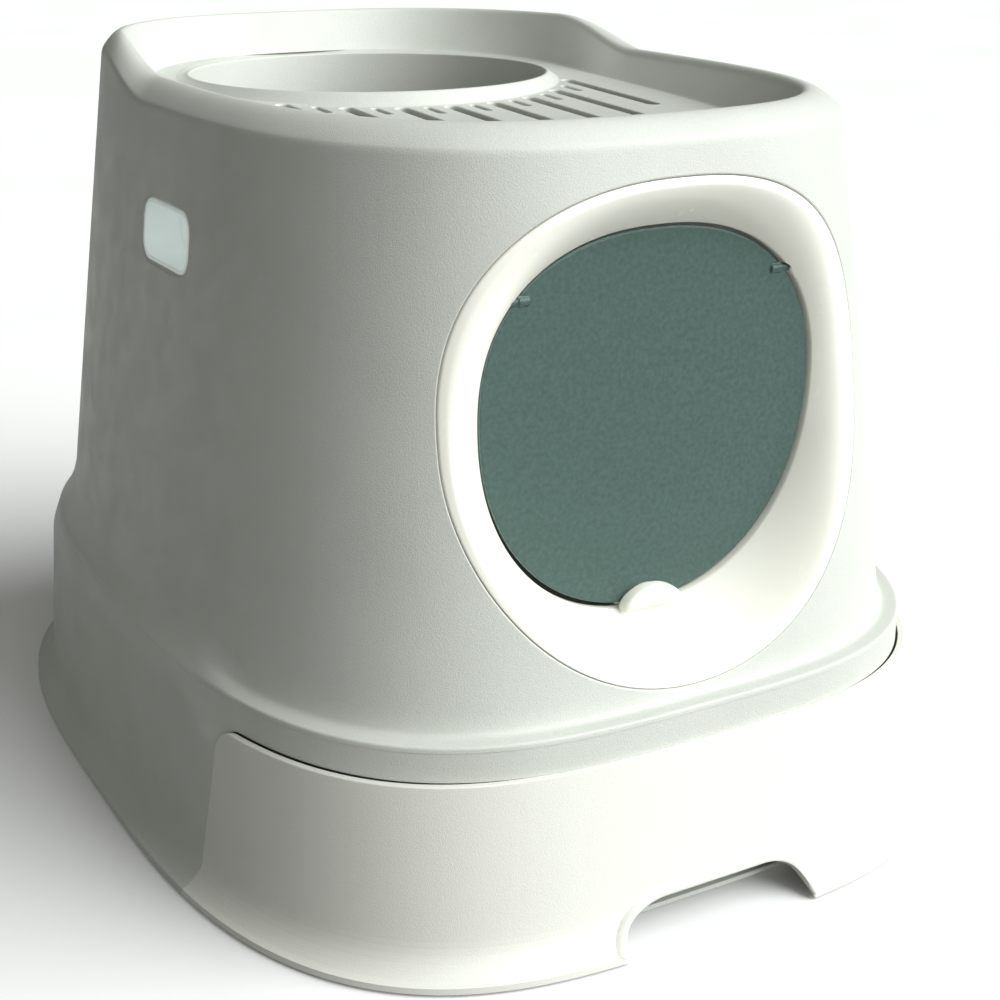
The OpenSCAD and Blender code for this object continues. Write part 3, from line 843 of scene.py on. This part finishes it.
class Nodes:
    """Small helper that builds one procedural material."""

    def __init__(self, name):
        self.material = bpy.data.materials.new(name)
        self.material.use_nodes = True
        self.tree = self.material.node_tree
        self.shader = self.tree.nodes["Principled BSDF"]
        self.coords = None

    def add(self, kind, **values):
        node = self.tree.nodes.new(kind)
        for key, value in values.items():
            if key in node.inputs:
                node.inputs[key].default_value = value
            else:
                setattr(node, key, value)
        return node

    def link(self, out, into):
        self.tree.links.new(out, into)

    def set(self, **values):
        for key, value in values.items():
            self.shader.inputs[key.replace("_", " ")].default_value = value

    def place(self):
        if self.coords is None:
            self.coords = self.add("ShaderNodeTexCoord")
        return self.coords.outputs["Object"]

    def noise(self, scale, detail=2.0, roughness=0.5):
        node = self.add("ShaderNodeTexNoise", Scale=scale, Detail=detail, Roughness=roughness)
        self.link(self.place(), node.inputs["Vector"])
        return node.outputs["Fac"]

    def spread(self, source, low, high):
        node = self.add("ShaderNodeMapRange")
        node.inputs["From Min"].default_value = 0.3
        node.inputs["From Max"].default_value = 0.7
        node.inputs["To Min"].default_value = low
        node.inputs["To Max"].default_value = high
        self.link(source, node.inputs["Value"])
        return node.outputs["Result"]

    def colours(self, source, dark, light, low=0.3, high=0.7):
        ramp = self.add("ShaderNodeValToRGB")
        ramp.color_ramp.elements[0].position = low
        ramp.color_ramp.elements[1].position = high
        ramp.color_ramp.elements[0].color = (*dark, 1)
        ramp.color_ramp.elements[1].color = (*light, 1)
        self.link(source, ramp.inputs["Fac"])
        self.link(ramp.outputs["Color"], self.shader.inputs["Base Color"])
        return ramp

    def bump(self, source, strength, distance, under=None):
        node = self.add("ShaderNodeBump", Strength=strength, Distance=distance)
        self.link(source, node.inputs["Height"])
        if under is not None:
            self.link(under, node.inputs["Normal"])
        self.link(node.outputs["Normal"], self.shader.inputs["Normal"])
        return node.outputs["Normal"]


def linear(*srgb):
    """Linear colour from 0 to 255 display values."""
    return tuple(((c / 255 + 0.055) / 1.055) ** 2.4 if c > 10 else c / 255 / 12.92 for c in srgb)


def moulded(name, colour, spread, rough, grain_depth, grain_scale=1500.0, coat=0.0, painted_glow=0.0):
    """Moulded plastic: a fine eroded grain, soft colour drift and uneven gloss, plus an optional
    emission that paints light onto faces in shade.
    """
    m = Nodes(name)
    grain = m.noise(grain_scale, 3.0, 0.6)
    drift = m.noise(14.0, 2.0, 0.5)
    blend = m.add("ShaderNodeMix", data_type="FLOAT")
    blend.inputs["Factor"].default_value = 0.45
    m.link(grain, blend.inputs["A"])
    m.link(drift, blend.inputs["B"])
    dark = tuple(c * (1 - spread) for c in colour)
    light = tuple(min(1.0, c * (1 + spread)) for c in colour)
    m.colours(blend.outputs["Result"], dark, light)
    m.link(m.spread(m.noise(60.0, 3.0), rough - 0.06, rough + 0.06), m.shader.inputs["Roughness"])
    broad = m.bump(m.noise(25.0, 1.0), 0.12, 0.0006)
    m.bump(grain, 0.5, grain_depth, under=broad)
    m.set(Specular_IOR_Level=0.4, Coat_Weight=coat, Coat_Roughness=0.12)
    # Painted light: an emission of the plastic's own colour brightens faces that stand in shade.
    if painted_glow:
        m.set(Emission_Color=(*colour, 1), Emission_Strength=painted_glow)
    return m.material


def smoked(name, dark, light, clear):
    """Tinted clear plastic: polished faces with faint flow marks."""
    m = Nodes(name)
    m.colours(m.noise(420.0, 3.0, 0.6), linear(*dark), linear(*light))
    m.link(m.spread(m.noise(45.0, 2.0), 0.1, 0.16), m.shader.inputs["Roughness"])
    m.bump(m.noise(18.0, 1.0), 0.04, 0.0003)
    m.set(Transmission_Weight=clear, IOR=1.3, Specular_IOR_Level=0.4)
    return m.material


def rubber(name):
    m = Nodes(name)
    grain = m.noise(700.0, 4.0, 0.7)
    m.colours(grain, linear(24, 24, 25), linear(44, 44, 45))
    m.link(m.spread(grain, 0.75, 0.95), m.shader.inputs["Roughness"])
    m.bump(grain, 0.4, 0.0002)
    return m.material


def brushed(name):
    """Plated steel with fine turning marks."""
    m = Nodes(name)
    stretch = m.add("ShaderNodeMapping")
    stretch.inputs["Scale"].default_value = (300, 300, 3500)
    m.link(m.place(), stretch.inputs["Vector"])
    lines = m.add("ShaderNodeTexNoise", Scale=1.0, Detail=2.0)
    m.link(stretch.outputs["Vector"], lines.inputs["Vector"])
    m.colours(lines.outputs["Fac"], linear(150, 151, 154), linear(190, 191, 194))
    m.link(m.spread(lines.outputs["Fac"], 0.22, 0.42), m.shader.inputs["Roughness"])
    m.bump(lines.outputs["Fac"], 0.2, 0.00005)
    m.set(Metallic=1.0)
    return m.material


def studio_floor(name):
    m = Nodes(name)
    m.colours(m.noise(2.0, 2.0), linear(246, 246, 246), linear(250, 250, 250))
    m.set(Roughness=0.9, Specular_IOR_Level=0.1)
    return m.material


MATERIALS = {
    "grey_plastic": moulded("grey_grained", linear(199, 202, 196), 0.08, 0.5, 0.0004),
    "white_plastic": moulded("white_grained", linear(222, 222, 215), 0.03, 0.45, 0.0003),
    # Painted light: the door ring's faint emission brightens its downward-facing funnel as if lit
    # from below.
    "white_gloss": moulded(
        "white_polished", linear(240, 239, 230), 0.015, 0.22, 0.00001, coat=0.4, painted_glow=0.06
    ),
    "tray_plastic": moulded("tray_satin", linear(150, 153, 151), 0.04, 0.45, 0.0001),
    "smoke_plastic": smoked("smoke_tint", (92, 116, 111), (106, 131, 125), 0.5),
    # Painted highlight: a lighter tint for the flap's edge faces, standing in for light caught in
    # the clear sheet.
    "smoke_painted_edge_highlight": smoked("smoke_tint_painted_highlight", (150, 178, 172), (176, 200, 195), 0.6),
    # Painted light: the handle cups' emission lifts their shaded insides to a bright white.
    "painted_light_white": moulded("cup_painted_light_white", linear(226, 234, 232), 0.02, 0.35, 0.0001, painted_glow=0.22),
    "pad_rubber": rubber("pad_rubber_black"),
    "steel": brushed("steel_plated"),
}


def dress(obj, finish):
    """Gives a piece its finish; a piece with an edge highlight finish of its own gets that painted
    highlight on its edge faces.
    """
    obj.data.materials.clear()
    obj.data.materials.append(MATERIALS[finish])
    rim = obj.get("rim_finish")
    if rim:
        obj.data.materials.append(MATERIALS[rim])
        # Faces not facing along Y are the edge faces; they take the painted highlight tint.
        for face in obj.data.polygons:
            face.material_index = int(abs(face.normal.y) < 0.6)


# ---------------------------------------------------------------- the object

# Piece maker, body it rides on, CAD node it stands for, finish
PIECES = (
    (make_hood, "hood", "hood_shell", "grey_plastic"),
    (lambda: make_cup(-1), "hood", "handle_cup_left", "white_plastic"),
    (lambda: make_cup(1), "hood", "handle_cup_right", "white_plastic"),
    (make_bezel, "hood", "door_bezel", "white_gloss"),
    (make_flap, "flap", "door_flap", "smoke_plastic"),
    (make_holder, "flap", "magnet_holder", "white_gloss"),
    (make_base, "base", "base_frame", "grey_plastic"),
    (make_base_inside, "base", "base_frame", "grey_plastic"),
    (make_drawer_front, "drawer", "drawer_front", "white_plastic"),
    (make_tray, "drawer", "litter_tray", "tray_plastic"),
)

for make, body, node, finish in PIECES:
    piece = make()
    dress(piece, piece.get("look", finish))
    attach(piece, body)
    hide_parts(node)

replaced = {node for _, _, node, _ in PIECES}
for entry in frame["record"]["subparts"]:
    if entry["node"] not in replaced:
        carried = frame["nodes"][entry["node"]]
        for place in carried.material_slots:
            place.material = MATERIALS[entry["material_slot"]]

# ---------------------------------------------------------------- floor, light and camera

FLOOR_HALF = 30.0
CAMERA_AT = (-0.437, -0.8498, 0.4773)
CAMERA_YAW, CAMERA_PITCH = -29.39, -20.06
CAMERA_LENS = 62.3


def make_floor():
    mesh = bpy.data.meshes.new("studio_floor")
    h = FLOOR_HALF
    mesh.from_pydata([(-h, -h, 0), (h, -h, 0), (h, h, 0), (-h, h, 0)], [], [(0, 1, 2, 3)])
    obj = bpy.data.objects.new("studio_floor", mesh)
    bpy.context.scene.collection.objects.link(obj)
    obj.data.materials.append(studio_floor("floor_white"))
    obj.visible_diffuse = False  # keeps the shaded side as deep as in a large studio


def add_sun(name, towards, strength, spread, colour=(1, 1, 1)):
    """Soft distant light; towards is the direction it shines from."""
    light = bpy.data.lights.new(name, "SUN")
    light.energy = strength
    light.angle = math.radians(spread)
    light.color = colour
    obj = bpy.data.objects.new(name, light)
    obj.rotation_euler = Vector(towards).to_track_quat("Z", "Y").to_euler()
    bpy.context.scene.collection.objects.link(obj)


def make_world(brightness):
    world = bpy.data.worlds.new("studio")
    world.use_nodes = True
    background = world.node_tree.nodes["Background"]
    background.inputs["Color"].default_value = (1.0, 1.01, 0.93, 1)
    background.inputs["Strength"].default_value = brightness
    bpy.context.scene.world = world


def make_camera():
    """Camera at the photograph's viewing angle."""
    data = bpy.data.cameras.new("camera")
    data.sensor_width = 36
    data.lens = CAMERA_LENS
    data.clip_end = 100
    obj = bpy.data.objects.new("camera", data)
    obj.location = CAMERA_AT
    yaw, pitch = math.radians(CAMERA_YAW), math.radians(CAMERA_PITCH)
    level = math.cos(pitch)
    ahead = Vector((-math.sin(yaw) * level, math.cos(yaw) * level, math.sin(pitch)))
    obj.rotation_euler = ahead.to_track_quat("-Z", "Y").to_euler()
    bpy.context.scene.collection.objects.link(obj)
    bpy.context.scene.camera = obj


make_floor()
make_world(0.16)
add_sun("key", (0.68, -0.69, 0.63), 4.75, 60, (0.97, 1.0, 0.985))
add_sun("front", (0.05, -1.0, 0.35), 1.1, 70)
make_camera()
bpy.context.scene.view_settings.view_transform = "Standard"
